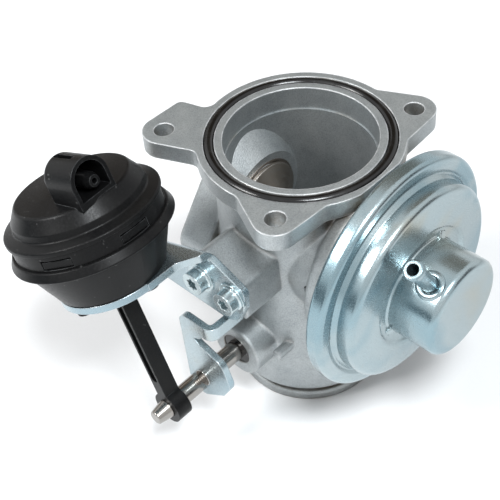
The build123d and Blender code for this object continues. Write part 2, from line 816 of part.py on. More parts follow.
# Crank pin, turned: rivet head, neck, shoulder, groove for the eye, cone
groove_half = rod_w / 2 + running_gap
pin_section = Plane(origin=(crank[0], 0, shaft_z + crank[1]), x_dir=(0, -1, 0), z_dir=(1, 0, 0))
with BuildPart() as crank_pin:
    with BuildSketch(pin_section):
        outline([(-lever_y - lever_t - pin_rivet_h, 0, 0), (-lever_y - lever_t - pin_rivet_h, pin_rivet_r, 0),
                 (-lever_y - lever_t, pin_rivet_r, 0), (-lever_y - lever_t, pin_neck_r, 0),
                 (-lever_y, pin_neck_r, 0), (-lever_y, pin_r, 0),
                 (-rod_y - groove_half, pin_r, 0), (-rod_y - groove_half, pin_r - pin_groove, 0),
                 (-rod_y + groove_half, pin_r - pin_groove, 0), (-rod_y + groove_half, pin_r, 0),
                 (-pin_tip_y - pin_cone_len, pin_r, 0), (-pin_tip_y, pin_tip_r, 0.5), (-pin_tip_y, 0, 0)])
    revolve(axis=Axis((crank[0], 0, shaft_z + crank[1]), (0, -1, 0)))
crank_pin.part.label = "crank_pin"

# Pull rod: eye, channelled shank, neck and the cross head that the capsule's piston holds
with BuildPart() as pull_rod:
    with BuildSketch(capsule_section.offset(-rod_w / 2)):
        Circle(eye_r)
        with Locations((0, rod_top / 2)):
            Rectangle(rod_t, rod_top)
    extrude(amount=rod_w)
    for face in (-1, 1):
        with BuildSketch(capsule_section.offset(face * rod_w / 2)):
            with Locations((0, eye_r + rod_pocket_foot)):
                RectangleRounded(rod_t - 2 * rod_rim, rod_top - eye_r - rod_pocket_foot - rod_pocket_end,
                                 rod_pocket_round, align=(Align.CENTER, Align.MIN))
        extrude(amount=-face * rod_pocket, mode=Mode.SUBTRACT)
    with BuildSketch(capsule_plane.offset(rod_top)):
        Rectangle(*rod_neck)
    extrude(amount=pivot_s - rod_top)
    with BuildSketch(capsule_section.offset(-pivot_len / 2)):
        with Locations((0, pivot_s)):
            Circle(pivot_r)
    extrude(amount=pivot_len)
    with BuildSketch(capsule_section.offset(-rod_w / 2)):
        Circle(eye_hole_r)
    extrude(amount=rod_w, mode=Mode.SUBTRACT)
pull_rod.part.label = "pull_rod"

# Lower shell of the capsule with its snap tabs and the studs staked under the bracket
lip_top_s = lip_s + lip_t
collar_top_s = band_s - bead_t
with BuildPart() as capsule_shell:
    with BuildSketch(capsule_section):
        outline([(rod_hole_r, shell_s, 0), (shell_foot_r, shell_s, 1.2), (shell_mouth_r, shell_mouth_s, 0.4),
                 (lip_r, lip_s, 0.5), (lip_top_r, lip_top_s, 0.5), (collar_r, lip_top_s, 0),
                 (collar_r, collar_top_s, 0), (collar_r - plastic_t, collar_top_s, 0),
                 (collar_r - plastic_t, lip_s, 2.0), (shell_foot_r - plastic_t, shell_s + plastic_t, 1.0),
                 (rod_hole_r, shell_s + plastic_t, 0)])
    revolve(axis=capsule_axis)
    with BuildSketch(capsule_plane.offset(window_s + window_side)):
        with PolarLocations(collar_r - tab_root, window_count, start_angle=window_first_angle):
            Rectangle(tab_proud + tab_root, window_w - 2 * window_side, align=(Align.MIN, Align.CENTER))
    extrude(amount=tab_h)
    with BuildSketch(capsule_plane.offset(shell_s)):
        with PolarLocations(stud_ring_r, stud_count, start_angle=stud_first_angle):
            Circle(stud_r)
    extrude(amount=-plate)
    with BuildSketch(capsule_plane.offset(shell_s - plate)):
        with PolarLocations(stud_ring_r, stud_count, start_angle=stud_first_angle):
            Circle(stud_head_r)
    extrude(amount=-stud_head_h)
capsule_shell.part.label = "capsule_shell"


def hood_arch(width, foot_s, top_s):
    """Doorway outline, straight sides under a half circle, across the hood."""
    left = hood_side - width / 2
    right = hood_side + width / 2
    arch_r = width / 2 - 0.01
    outline([(left, foot_s, 0), (right, foot_s, 0), (right, top_s, arch_r), (left, top_s, arch_r)])


# Cap: snap band with windows, rim, cone, shallow dome and the hood over the hose tube
cap_inner_r = cap_root_r - plastic_t + cap_lining
hood_top_s = cap_crown_s + hood_h
tube_s = cap_crown_s + hose_tube_lift
with BuildPart() as capsule_cap:
    with BuildSketch(capsule_section):
        outline([(collar_r + collar_play, lip_top_s, 0), (band_r, lip_top_s, 0), (band_r, band_s, 0.3),
                 (rim_lip_r, band_s + rim_lip_rise, 0.2), (rim_lip_r, band_s + rim_lip_h, 0.6),
                 (cap_root_r + cap_cone_foot, cap_wall_s, 0.7), (cap_root_r, cap_root_s, 0.8),
                 (cap_crown_r, cap_crown_s, 1.4), (0, cap_peak_s, 0), (0, cap_peak_s - plastic_t, 0),
                 (cap_crown_r - crown_inner_step, cap_crown_s - plastic_t, 1.0),
                 (cap_inner_r, cap_root_s - root_inner_drop, 0.5),
                 (cap_inner_r, band_s, 0), (collar_r + collar_play, band_s, 0)])
    revolve(axis=capsule_axis)
    with BuildSketch(hood_fold.offset(hood_back)):
        hood_arch(hood_w, cap_crown_s - hood_sink, hood_top_s)
    hood = extrude(amount=hood_front - hood_back, mode=Mode.PRIVATE)
    back_edges = hood.edges().group_by(Axis(eye_point, hood_plane.x_dir))[0]
    back_edges = back_edges.sort_by(Axis(eye_point, capsule_up))
    add(hood.fillet(hood_round, back_edges[1:]))
    with BuildSketch(hood_fold.offset(hood_back + hood_wall)):
        hood_arch(hood_w - 2 * hood_wall, cap_peak_s, hood_top_s - hood_wall)
    extrude(amount=hood_front - hood_back, mode=Mode.SUBTRACT)
    with BuildSketch(hood_plane.offset(hood_top_s + 1.0)):
        with Locations(((slot_from + slot_to) / 2, hood_side)):
            Rectangle(slot_to - slot_from, slot_w)
    extrude(amount=-hood_wall - 2.0, mode=Mode.SUBTRACT)
    with BuildSketch(hood_fold.offset(hood_back + hood_wall / 2)):
        with Locations((hose_tube_side, tube_s)):
            Circle(hose_tube_r)
    extrude(amount=hose_tube_front - hose_tip_len - hood_back - hood_wall / 2)
    with BuildSketch(hood_fold.offset(hose_tube_front - hose_tip_len)):
        with Locations((hose_tube_side, tube_s)):
            Circle(hose_tube_r)
    with BuildSketch(hood_fold.offset(hose_tube_front)):
        with Locations((hose_tube_side, tube_s)):
            Circle(hose_tip_r)
    loft()
    with BuildSketch(hood_fold.offset(hood_back + 2 * hood_wall)):
        with Locations((hose_tube_side, tube_s)):
            Circle(hose_hole_r)
    extrude(amount=hood_front - hood_back, mode=Mode.SUBTRACT)
    with BuildSketch(capsule_plane.offset(window_s)):
        with PolarLocations(collar_r - tab_root, window_count, start_angle=window_first_angle):
            Rectangle(band_r, window_w, align=(Align.MIN, Align.CENTER))
    extrude(amount=window_h, mode=Mode.SUBTRACT)
capsule_cap.part.label = "capsule_cap"

# Capsule diaphragm: clamped bead, sloping skirt and the flat part under the piston's plate
skirt_r = collar_r - plastic_t - film_play
with BuildPart() as capsule_diaphragm:
    with BuildSketch(capsule_section):
        outline([(piston_hub_r + running_gap, piston_s - film_t, 0),
                 (piston_plate_r + film_fold, piston_s - film_t, 0.8),
                 (skirt_r, collar_top_s, 0), (collar_r, collar_top_s, 0),
                 (collar_r, band_s, 0), (cap_inner_r + cap_lining, band_s, 0),
                 (skirt_r - film_t, collar_top_s, 0), (piston_plate_r + film_fold - film_t, piston_s, 0.4),
                 (piston_hub_r + running_gap, piston_s, 0)])
    revolve(axis=capsule_axis)
capsule_diaphragm.part.label = "capsule_diaphragm"

# Piston plate with the socket that holds the rod's cross head and lets it shift sideways
with BuildPart() as capsule_piston:
    with BuildSketch(capsule_plane.offset(piston_s)):
        Circle(piston_plate_r)
    extrude(amount=piston_plate_t)
    with BuildSketch(capsule_plane.offset(piston_s)):
        Circle(piston_hub_r)
    extrude(amount=pivot_s - pivot_r - pivot_gap - piston_ledge - piston_s)
    with BuildSketch(capsule_plane.offset(pivot_s - pivot_r - pivot_gap)):
        Rectangle(2 * (pivot_r + pivot_side_gap), pivot_len + 2 * pivot_end_gap)
    extrude(amount=2 * (pivot_r + pivot_gap), mode=Mode.SUBTRACT)
    with BuildSketch(capsule_plane.offset(pivot_s)):
        Rectangle(rod_neck[0] + 2 * pivot_side_gap, rod_neck[1] + 2 * neck_gap)
    extrude(amount=-pivot_r - pivot_gap - piston_ledge, mode=Mode.SUBTRACT)
capsule_piston.part.label = "capsule_piston"

capsule_spring_s = piston_s + piston_plate_t
capsule_spring_len = (cap_peak_s - plastic_t - (cap_peak_s - cap_crown_s) * capsule_spring_r / cap_crown_r
                      - capsule_spring_gap - capsule_spring_s)
spring_foot = tuple(e + u * capsule_spring_s for e, u in zip(eye_point, capsule_up))
with BuildPart() as capsule_spring:
    with BuildLine():
        wire = coil(spring_foot, capsule_up, capsule_spring_len, capsule_spring_r,
                    capsule_wire_r, capsule_turns)
    with BuildSketch(Plane(origin=wire @ 0, z_dir=wire % 0)):
        RegularPolygon(capsule_wire_r, 8)
    sweep()
capsule_spring.part.label = "capsule_spring"

# Bracket: disc under the capsule, arm folded down into the plate that is screwed to the housing
fold_y = bracket_y + plate - rod_y
with BuildPart() as capsule_bracket:
    with BuildSketch(capsule_plane.offset(shell_s - plate)):
        Circle(shell_foot_r + disc_margin)
        outline([(arm_left, 0, 0), (arm_right, 0, 0), (arm_right, arm_flare_from, 5.0),
                 (arm_flare, fold_y - bend_r - 0.8, 1.0), (arm_flare, fold_y - bend_r, 0),
                 (arm_left, fold_y - bend_r, 0)])
    extrude(amount=plate)
    with BuildSketch(capsule_fold.offset(arm_left)):
        outline([(fold_y - bend_r, shell_s, 0), (fold_y, shell_s, bend_r - 0.01),
                 (fold_y, shell_s - bend_r - 1.0, 0), (fold_y - plate, shell_s - bend_r - 1.0, 0),
                 (fold_y - plate, shell_s - plate, bend_r - plate - 0.01), (fold_y - bend_r, shell_s - plate, 0)])
    extrude(amount=arm_flare - arm_left)
    with BuildSketch(side_plane(bracket_y + plate)):
        outline(bracket_outline)
    extrude(amount=plate)
    with BuildSketch(side_plane(bracket_y + plate)):
        with Locations(*bracket_screws_at):
            Circle(screw_r + screw_play)
    extrude(amount=plate, mode=Mode.SUBTRACT)
    with BuildSketch(capsule_plane.offset(shell_s - plate)):
        Circle(rod_hole_r)
        with PolarLocations(stud_ring_r, stud_count, start_angle=stud_first_angle):
            Circle(stud_r)
    extrude(amount=plate, mode=Mode.SUBTRACT)
capsule_bracket.part.label = "capsule_bracket"

with BuildPart() as bracket_screws:
    with BuildSketch(side_plane(bracket_y)):
        with Locations(*bracket_screws_at):
            Circle(screw_washer_r)
    extrude(amount=screw_washer_h)
    with BuildSketch(side_plane(bracket_y)):
        with Locations(*bracket_screws_at):
            Circle(screw_head_r)
    extrude(amount=screw_head_h)
    with BuildSketch(side_plane(bracket_y)):
        with Locations(*bracket_screws_at):
            Circle(screw_r)
    extrude(amount=-plate - screw_grip)
    with BuildSketch(side_plane(bracket_y - screw_head_h)):
        with Locations(*bracket_screws_at):
            RegularPolygon(socket_r, 6)
    extrude(amount=-socket_depth, mode=Mode.SUBTRACT)
bracket_screws.part.label = "bracket_screws"

pieces = [housing, flange_oring, valve_seat_ring, egr_valve, valve_guide, stem_seal, actuator_base,
          actuator_shell, actuator_nipple, base_screws, actuator_diaphragm, actuator_washer,
          actuator_piston, actuator_spring, flap_shaft, flap_disc, flap_screws, shaft_bush_front,
          shaft_seal, shaft_bush_rear, shaft_plug, flap_lever, crank_pin, pull_rod, capsule_shell,
          capsule_cap, capsule_diaphragm, capsule_piston, capsule_spring, capsule_bracket,
          bracket_screws]
for piece in pieces:
    export_step(piece.part, "parts/" + piece.part.label + ".step")
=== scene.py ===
# %% [markdown]
# # Exhaust gas recirculation valve with a shut-off flap
# The object is one grey aluminium casting with two vacuum units on it. A zinc plated steel can lifts
# a poppet valve inside the duct, and a black plastic capsule turns a flap lower down through a rod
# and a crank lever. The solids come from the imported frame, in metres, and already have their true
# size and place. This lesson gives them their finishes, adds the small parts that a plain solid
# lacks, and sets up the studio. Everything shares the frame's origin, so nothing needs fitting.

from math import cos, pi, radians, sin, sqrt

import bmesh
import bpy
from mathutils import Matrix, Vector


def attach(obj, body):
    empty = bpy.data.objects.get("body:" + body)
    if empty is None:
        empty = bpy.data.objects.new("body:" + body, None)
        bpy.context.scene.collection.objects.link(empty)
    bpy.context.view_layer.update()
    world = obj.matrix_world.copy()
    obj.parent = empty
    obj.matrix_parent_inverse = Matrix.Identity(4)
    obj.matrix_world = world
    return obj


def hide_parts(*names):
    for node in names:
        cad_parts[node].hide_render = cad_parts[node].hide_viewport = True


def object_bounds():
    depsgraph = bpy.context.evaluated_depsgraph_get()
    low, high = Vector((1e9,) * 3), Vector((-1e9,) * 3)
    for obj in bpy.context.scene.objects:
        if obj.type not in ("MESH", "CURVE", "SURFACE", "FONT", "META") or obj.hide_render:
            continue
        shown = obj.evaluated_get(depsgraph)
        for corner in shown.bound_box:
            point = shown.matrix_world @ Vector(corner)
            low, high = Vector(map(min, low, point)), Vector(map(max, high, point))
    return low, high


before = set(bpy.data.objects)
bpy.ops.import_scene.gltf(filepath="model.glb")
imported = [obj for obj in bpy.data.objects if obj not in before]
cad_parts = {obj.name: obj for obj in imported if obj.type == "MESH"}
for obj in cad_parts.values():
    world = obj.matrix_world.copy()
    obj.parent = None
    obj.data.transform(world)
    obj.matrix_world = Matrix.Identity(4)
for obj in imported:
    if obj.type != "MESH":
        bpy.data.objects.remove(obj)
cad_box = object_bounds()
mm = 0.001


# %% [markdown]
# ## Small helpers
# Operators act on whatever is selected, and the frame arrives with all its nodes selected. So each
# modelling step starts from a clean selection. Faces and edges are then picked in code, by their
# place or by the way they face, exactly as one would click on them. A piece that repeats is modelled
# once, copied with a mesh of its own, and joined to the first when both are in place.

# %% Selection helpers
def deselect_all():
    """Leave edit mode and drop every selection."""
    if bpy.context.object and bpy.context.object.mode != "OBJECT":
        bpy.ops.object.mode_set(mode="OBJECT")
    bpy.ops.object.select_all(action="DESELECT")


def only(obj):
    """Make one object the selected and active one."""
    deselect_all()
    obj.select_set(True)
    bpy.context.view_layer.objects.active = obj


def pick(obj, faces=None, edges=None):
    """In edit mode, select only the faces or the edges that pass the test."""
    only(obj)
    bpy.ops.object.mode_set(mode="EDIT")
    bpy.ops.mesh.select_mode(type="FACE" if faces else "EDGE")
    bpy.ops.mesh.select_all(action="DESELECT")
    mesh = bmesh.from_edit_mesh(obj.data)
    mesh.normal_update()
    test = faces or edges
    for part in (mesh.faces if faces else mesh.edges):
        if test(part):
            part.select = True
    mesh.select_flush_mode()
    bmesh.update_edit_mesh(obj.data)


def leave_edit():
    """Go back to object mode."""
    bpy.ops.object.mode_set(mode="OBJECT")


def raise_faces(height):
    """In edit mode, extrude the picked faces by a height in millimetres."""
    bpy.ops.mesh.extrude_region_move(TRANSFORM_OT_translate={"value": (0, 0, height * mm)})


def settle(obj):
    """Put the object's place into its mesh, so the object itself sits at the origin."""
    only(obj)
    bpy.ops.object.transform_apply(location=True, rotation=True, scale=True)


def second_copy(obj):
    """A copy of an object with a mesh of its own."""
    twin = obj.copy()
    twin.data = obj.data.copy()
    bpy.context.collection.objects.link(twin)
    return twin


def join_into(obj, twin):
    """Merge the copy into the first object, which keeps its name."""
    only(obj)
    twin.select_set(True)
    bpy.ops.object.join()


def finish_piece(obj, body, material, smooth_angle=35):
    """Give a new piece its body and finish, and shade it smooth up to an angle."""
    settle(obj)
    bpy.ops.object.shade_smooth_by_angle(angle=radians(smooth_angle))
    obj.data.materials.clear()
    obj.data.materials.append(material)
    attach(obj, body)
    print(obj.name, "has", len(obj.data.polygons), "faces and rides on", body)


# %% [markdown]
# ## Shared effects
# Three effects are made as shader node groups: edges that are slightly rounded and worn bright, the
# sandy grain of a casting, and brown dirt with painted shade in the corners. Each is built once and
# placed in a material with its own values. A group only hands out masks, heights and normals. The
# shader stays in the material.

# %% Node helpers
def new_group(name, inputs, outputs):
    """An empty shader node group with the sockets listed as (name, kind, value)."""
    group = bpy.data.node_groups.new(name, "ShaderNodeTree")
    for label, kind, value in inputs:
        socket = group.interface.new_socket(name=label, in_out="INPUT", socket_type=kind)
        if value is not None:
            socket.default_value = value
    for label, kind in outputs:
        group.interface.new_socket(name=label, in_out="OUTPUT", socket_type=kind)
    start = group.nodes.new("NodeGroupInput")
    end = group.nodes.new("NodeGroupOutput")
    return group, start, end


def math_node(tree, operation, first, second=None, clamp=False):
    """A math node fed with sockets or plain numbers."""
    node = tree.nodes.new("ShaderNodeMath")
    node.operation = operation
    node.use_clamp = clamp
    for place, value in enumerate((first, second)):
        if value is None:
            continue
        if isinstance(value, bpy.types.NodeSocket):
            tree.links.new(value, node.inputs[place])
        else:
            node.inputs[place].default_value = value
    return node.outputs[0]


def spread(tree, value, low, high, to_low=0.0, to_high=1.0, smooth=True):
    """Map a range of values onto another one, with soft ends."""
    node = tree.nodes.new("ShaderNodeMapRange")
    node.interpolation_type = "SMOOTHSTEP" if smooth else "LINEAR"
    tree.links.new(value, node.inputs["Value"])
    node.inputs["From Min"].default_value = low
    node.inputs["From Max"].default_value = high
    node.inputs["To Min"].default_value = to_low
    node.inputs["To Max"].default_value = to_high
    return node.outputs["Result"]


def mix_colours(tree, mask, first, second):
    """Blend two colours by a mask. Each colour may be a socket or plain red, green and blue."""
    node = tree.nodes.new("ShaderNodeMix")
    node.data_type = "RGBA"
    # The Mix node has one set of sockets per kind of data, and the colour ones are 6, 7 and 2
    tree.links.new(mask, node.inputs[0])
    for socket, value in ((node.inputs[6], first), (node.inputs[7], second)):
        if isinstance(value, bpy.types.NodeSocket):
            tree.links.new(value, socket)
        else:
            socket.default_value = (*value, 1.0)
    return node.outputs[2]


def noise(tree, where, scale, detail=3.0, roughness=0.55, distortion=0.0):
    """Cloudy noise read at the given coordinates."""
    node = tree.nodes.new("ShaderNodeTexNoise")
    tree.links.new(where, node.inputs["Vector"])
    if isinstance(scale, bpy.types.NodeSocket):
        tree.links.new(scale, node.inputs["Scale"])
    else:
        node.inputs["Scale"].default_value = scale
    node.inputs["Detail"].default_value = detail
    node.inputs["Roughness"].default_value = roughness
    node.inputs["Distortion"].default_value = distortion
    return node.outputs["Fac"]


def stretched(tree, where, stretch):
    """Coordinates stretched along the axes, for grain that runs one way."""
    node = tree.nodes.new("ShaderNodeMapping")
    tree.links.new(where, node.inputs["Vector"])
    node.inputs["Scale"].default_value = stretch
    return node.outputs["Vector"]


# %% [markdown]
# ### Rounded, worn edges
# A real edge is never perfectly sharp, and it catches the light. The Bevel node looks at the
# surfaces nearby and gives the normal that a small rounding would have, without touching the mesh.
# Where that normal differs from the true one, there is an edge, which also makes a mask for wear.

# %% Edge group
def make_edge_group():
    group, start, end = new_group(
        "worn_edges",
        [("Width", "NodeSocketFloat", 0.0006)],
        [("Normal", "NodeSocketVector"), ("Mask", "NodeSocketFloat")])
    bevel = group.nodes.new("ShaderNodeBevel")
    bevel.samples = 6
    group.links.new(start.outputs["Width"], bevel.inputs["Radius"])
    surface = group.nodes.new("ShaderNodeNewGeometry")
    dot = group.nodes.new("ShaderNodeVectorMath")
    dot.operation = "DOT_PRODUCT"
    group.links.new(bevel.outputs["Normal"], dot.inputs[0])
    group.links.new(surface.outputs["Normal"], dot.inputs[1])
    turned = math_node(group, "SUBTRACT", 1.0, dot.outputs["Value"])
    mask = spread(group, turned, 0.03, 0.28)
    group.links.new(bevel.outputs["Normal"], end.inputs["Normal"])
    group.links.new(mask, end.inputs["Mask"])
    return group


worn_edges = make_edge_group()
print("made group", worn_edges.name)


# %% [markdown]
# ### Casting grain
# The skin of a casting is a replica of the mould: fine rounded grains, some pits, and wide cloudy
# patches where the metal froze at a different pace. A cell pattern gives the grains, and a fine and
# a wide noise give the specks and the clouds. All three follow one named input, the grain's size.

# %% Grain group
def make_grain_group():
    group, start, end = new_group(
        "cast_grain",
        [("Vector", "NodeSocketVector", None), ("Scale", "NodeSocketFloat", 900.0)],
        [("Height", "NodeSocketFloat"), ("Speckle", "NodeSocketFloat"), ("Cloud", "NodeSocketFloat")])
    where = start.outputs["Vector"]
    grains = group.nodes.new("ShaderNodeTexVoronoi")
    grains.feature = "F1"
    group.links.new(where, grains.inputs["Vector"])
    group.links.new(start.outputs["Scale"], grains.inputs["Scale"])
    fine_scale = math_node(group, "MULTIPLY", start.outputs["Scale"], 1.9)
    fine = noise(group, where, fine_scale, detail=4.0, roughness=0.65)
    wide_scale = math_node(group, "MULTIPLY", start.outputs["Scale"], 0.085)
    wide = noise(group, where, wide_scale, detail=3.0, roughness=0.5)
    rounded = math_node(group, "SUBTRACT", 1.0, grains.outputs["Distance"])
    half_fine = math_node(group, "MULTIPLY", fine, 0.9)
    height = math_node(group, "ADD", rounded, half_fine)
    speckle = spread(group, fine, 0.38, 0.66)
    cloud = spread(group, wide, 0.3, 0.7)
    group.links.new(height, end.inputs["Height"])
    group.links.new(speckle, end.inputs["Speckle"])
    group.links.new(cloud, end.inputs["Cloud"])
    return group


cast_grain = make_grain_group()
print("made group", cast_grain.name)


# %% [markdown]
# ### Dirt and painted shade in the corners
# Brown dust and fluid gather where faces meet and under ledges, and shade falls there as well. The
# Ambient Occlusion node tells how closed in a point is. Broken up with noise, that becomes a brown
# stain with painted shade, strongest in the corners.

# %% Corner dirt and painted shade group
def make_dirt_and_shade_group():
    group, start, end = new_group(
        "corner_dirt_and_shade",
        [("Vector", "NodeSocketVector", None), ("Reach", "NodeSocketFloat", 0.008),
         ("Amount", "NodeSocketFloat", 0.6)],
        [("Mask", "NodeSocketFloat")])
    # Ambient occlusion darkens the closed-in corners: painted shade, tinted brown like dirt
    shade = group.nodes.new("ShaderNodeAmbientOcclusion")
    shade.samples = 6
    group.links.new(start.outputs["Reach"], shade.inputs["Distance"])
    closed = math_node(group, "SUBTRACT", 1.0, shade.outputs["AO"])
    corner = spread(group, closed, 0.25, 0.9)
    patches = spread(group, noise(group, start.outputs["Vector"], 70.0, detail=5.0), 0.38, 0.6)
    both = math_node(group, "MULTIPLY", corner, patches)
    mask = math_node(group, "MULTIPLY", both, start.outputs["Amount"], clamp=True)
    group.links.new(mask, end.inputs["Mask"])
    return group


corner_dirt_and_shade = make_dirt_and_shade_group()
print("made group", corner_dirt_and_shade.name)


# %% [markdown]
# ## Materials
# A material is started by one function that puts down the shader, the coordinates and the edge
# group. Each finish then adds what is its own. Values that are the same all over the surface are set
# on the shader's own sockets, and roughness always changes over the surface.

# %% Start of every material
def start_material(name, metallic, edge_width):
    """A new material with its shader, Object coordinates and worn edges of a width in metres."""
    material = bpy.data.materials.new(name)
    material.use_nodes = True
    tree = material.node_tree
    tree.nodes.clear()
    out = tree.nodes.new("ShaderNodeOutputMaterial")
    shader = tree.nodes.new("ShaderNodeBsdfPrincipled")
    shader.inputs["Metallic"].default_value = metallic
    tree.links.new(shader.outputs["BSDF"], out.inputs["Surface"])
    where = tree.nodes.new("ShaderNodeTexCoord").outputs["Object"]
    edges = place_group(tree, worn_edges, Width=edge_width)
    return material, tree, shader, where, edges


def place_group(tree, group, where=None, **values):
    """Put a shared group in a material and set its values."""
    node = tree.nodes.new("ShaderNodeGroup")
    node.node_tree = group
    if where is not None:
        tree.links.new(where, node.inputs["Vector"])
    for label, value in values.items():
        node.inputs[label].default_value = value
    return node


def add_bump(tree, shader, height, distance, strength, normal):
    """Feed a height to the shader's normal through a Bump node."""
    bump = tree.nodes.new("ShaderNodeBump")
    bump.inputs["Distance"].default_value = distance
    bump.inputs["Strength"].default_value = strength
    tree.links.new(height, bump.inputs["Height"])
    tree.links.new(normal, bump.inputs["Normal"])
    tree.links.new(bump.outputs["Normal"], shader.inputs["Normal"])


# %% [markdown]
# ### Where the casting differs
# The machined top flange has crisp edges, and below it the cast edges are soft. Nothing knocks the
# edges inside the duct, so they stay plain. One small vent hole is drilled in the wall beside the
# steel can: its mouth is painted here, with painted shade inside and a painted lit far wall. All
# these places are given in millimetres in the frame, and the masks are worked out from the Object
# coordinates.

# %% Places on the casting
duct_mouth_r = 27.2
duct_mouth_z = -4.0
flange_under_z = -9.0
flange_side_z = -7.5
low_wear_z = -14.0
flange_edge = 0.9
cast_edge = 2.2
vent_x, vent_z, vent_r = 25.3, -37.5, 2.5
vent_rim = 0.12
vent_lit_x, vent_lit_z = vent_x - 0.9, vent_z - 1.3
vent_front_y = -5.0


def from_point(tree, first, second, centre):
    """Distance from a centre, given in millimetres, in the plane of two coordinates."""
    across = math_node(tree, "SUBTRACT", first, centre[0] * mm)
    along = math_node(tree, "SUBTRACT", second, centre[1] * mm)
    squares = math_node(tree, "ADD", math_node(tree, "MULTIPLY", across, across),
                        math_node(tree, "MULTIPLY", along, along))
    return math_node(tree, "SQRT", squares)


def shape_edges(tree, split, edges):
    """Set the edges' width over the casting. The mask that comes back is 0 inside the duct."""
    from_axis = from_point(tree, split.outputs["X"], split.outputs["Y"], (0, 0))
    outside = spread(tree, from_axis, duct_mouth_r * mm, (duct_mouth_r + 0.4) * mm)
    above = spread(tree, split.outputs["Z"], duct_mouth_z * mm, (duct_mouth_z + 2.0) * mm)
    keep = math_node(tree, "MAXIMUM", outside, above)
    width = spread(tree, split.outputs["Z"], flange_under_z * mm, flange_side_z * mm,
                   cast_edge * mm, flange_edge * mm)
    tree.links.new(math_node(tree, "MULTIPLY", keep, width), edges.inputs["Width"])
    return keep


def paint_vent_hole_light_and_shade(tree, split, body):
    """Paint the vent hole's mouth over the casting's colour: painted shade inside and a painted lit
    far wall.
    """
    x, y, z = (split.outputs[axis] for axis in "XYZ")
    front = spread(tree, y, (vent_front_y - 1.0) * mm, vent_front_y * mm, 1.0, 0.0)
    inside = spread(tree, from_point(tree, x, z, (vent_x, vent_z)),
                    (vent_r - vent_rim) * mm, (vent_r + vent_rim) * mm, 1.0, 0.0)
    lit = spread(tree, from_point(tree, x, z, (vent_lit_x, vent_lit_z)),
                 (vent_r - 0.5) * mm, vent_r * mm, 1.0, 0.0)
    # Painted shade for the inside of the hole, lightened to a painted lit wall on the lower side
    hole_shade_and_lit_wall = mix_colours(tree, lit, (0.004, 0.004, 0.004), (0.17, 0.185, 0.19))
    return mix_colours(tree, math_node(tree, "MULTIPLY", front, inside), body, hole_shade_and_lit_wall)


print("edges of", flange_edge, "mm on the flange and", cast_edge, "mm below it")


# %% [markdown]
# ### Cast aluminium
# The housing is a blasted aluminium casting. It is a metal, but so rough that it looks like grey
# stone with a sparkle. Light and dark clouds lie under pale specks and dark pits, and brown stains
# with painted shade sit in the corners. Knocked edges are white and hardly metallic, most of all on
# the top flange.

# %% Cast aluminium
def make_cast_aluminium():
    material, tree, shader, where, edges = start_material("cast_aluminium", 0.75, flange_edge * mm)
    split = tree.nodes.new("ShaderNodeSeparateXYZ")
    tree.links.new(where, split.inputs["Vector"])
    grain = place_group(tree, cast_grain, where, Scale=1800.0)
    body = mix_colours(tree, grain.outputs["Cloud"], (0.31, 0.335, 0.345), (0.385, 0.41, 0.415))
    specks = spread(tree, grain.outputs["Speckle"], 0.0, 1.0, 0.0, 0.5)
    body = mix_colours(tree, specks, body, (0.54, 0.57, 0.58))
    pits = spread(tree, grain.outputs["Height"], 0.75, 0.95, 0.25, 0.0)
    body = mix_colours(tree, pits, body, (0.20, 0.215, 0.22))
    # Brown dirt with painted shade in the closed-in corners
    dirt_and_shade = place_group(tree, corner_dirt_and_shade, where, Reach=0.014, Amount=0.9)
    body = mix_colours(tree, dirt_and_shade.outputs["Mask"], body, (0.14, 0.10, 0.06))
    chips = spread(tree, noise(tree, where, 260.0, detail=4.0), 0.36, 0.6, 0.3, 1.0)
    wear = math_node(tree, "MULTIPLY", edges.outputs["Mask"], chips)
    wear = math_node(tree, "MULTIPLY", wear, shape_edges(tree, split, edges))
    height = spread(tree, split.outputs["Z"], low_wear_z * mm, flange_side_z * mm, 0.35, 1.0)
    wear = math_node(tree, "MULTIPLY", wear, height)
    body = mix_colours(tree, wear, body, (0.9, 0.905, 0.9))
    # The vent hole's mouth is painted: painted shade inside and a painted lit far wall
    body = paint_vent_hole_light_and_shade(tree, split, body)
    tree.links.new(body, shader.inputs["Base Color"])
    rough = spread(tree, wear, 0.0, 1.0, 0.44, 0.32, smooth=False)
    tree.links.new(rough, shader.inputs["Roughness"])
    metal = spread(tree, wear, 0.0, 1.0, 0.75, 0.15, smooth=False)
    tree.links.new(metal, shader.inputs["Metallic"])
    add_bump(tree, shader, grain.outputs["Height"], 0.00011, 0.42, edges.outputs["Normal"])
    return material


cast_aluminium = make_cast_aluminium()
print("made", cast_aluminium.name)


# %% [markdown]
# ### Zinc plated sheet
# The pressed steel parts are plated with zinc and passivated, which leaves a thin film: light blue
# in most places, with faint gold where it is thicker. Fine rolling grain blurs the reflection.

# %% Zinc plated steel
def make_zinc(name, rough, pale, blue, gold):
    material, tree, shader, where, edges = start_material(name, 0.9, 0.0004)
    film = noise(tree, where, 26.0, detail=3.0, distortion=0.6)
    body = mix_colours(tree, spread(tree, film, 0.36, 0.56), blue, pale)
    body = mix_colours(tree, spread(tree, film, 0.56, 0.76, 0.0, 0.8), body, gold)
    grit = noise(tree, where, 2600.0, detail=3.0, roughness=0.7)
    body = mix_colours(tree, spread(tree, grit, 0.3, 0.7, 0.0, 0.18), body, (0.42, 0.44, 0.45))
    scuffs = spread(tree, noise(tree, where, 210.0, detail=6.0, roughness=0.7), 0.6, 0.72)
    body = mix_colours(tree, math_node(tree, "MULTIPLY", scuffs, 0.3), body, (0.36, 0.34, 0.31))
    wear = math_node(tree, "MULTIPLY", edges.outputs["Mask"], 0.6)
    body = mix_colours(tree, wear, body, (0.9, 0.91, 0.92))
    tree.links.new(body, shader.inputs["Base Color"])
    gloss = spread(tree, grit, 0.25, 0.75, rough - 0.05, rough + 0.09)
    tree.links.new(gloss, shader.inputs["Roughness"])
    add_bump(tree, shader, grit, 0.00003, 0.35, edges.outputs["Normal"])
    return material


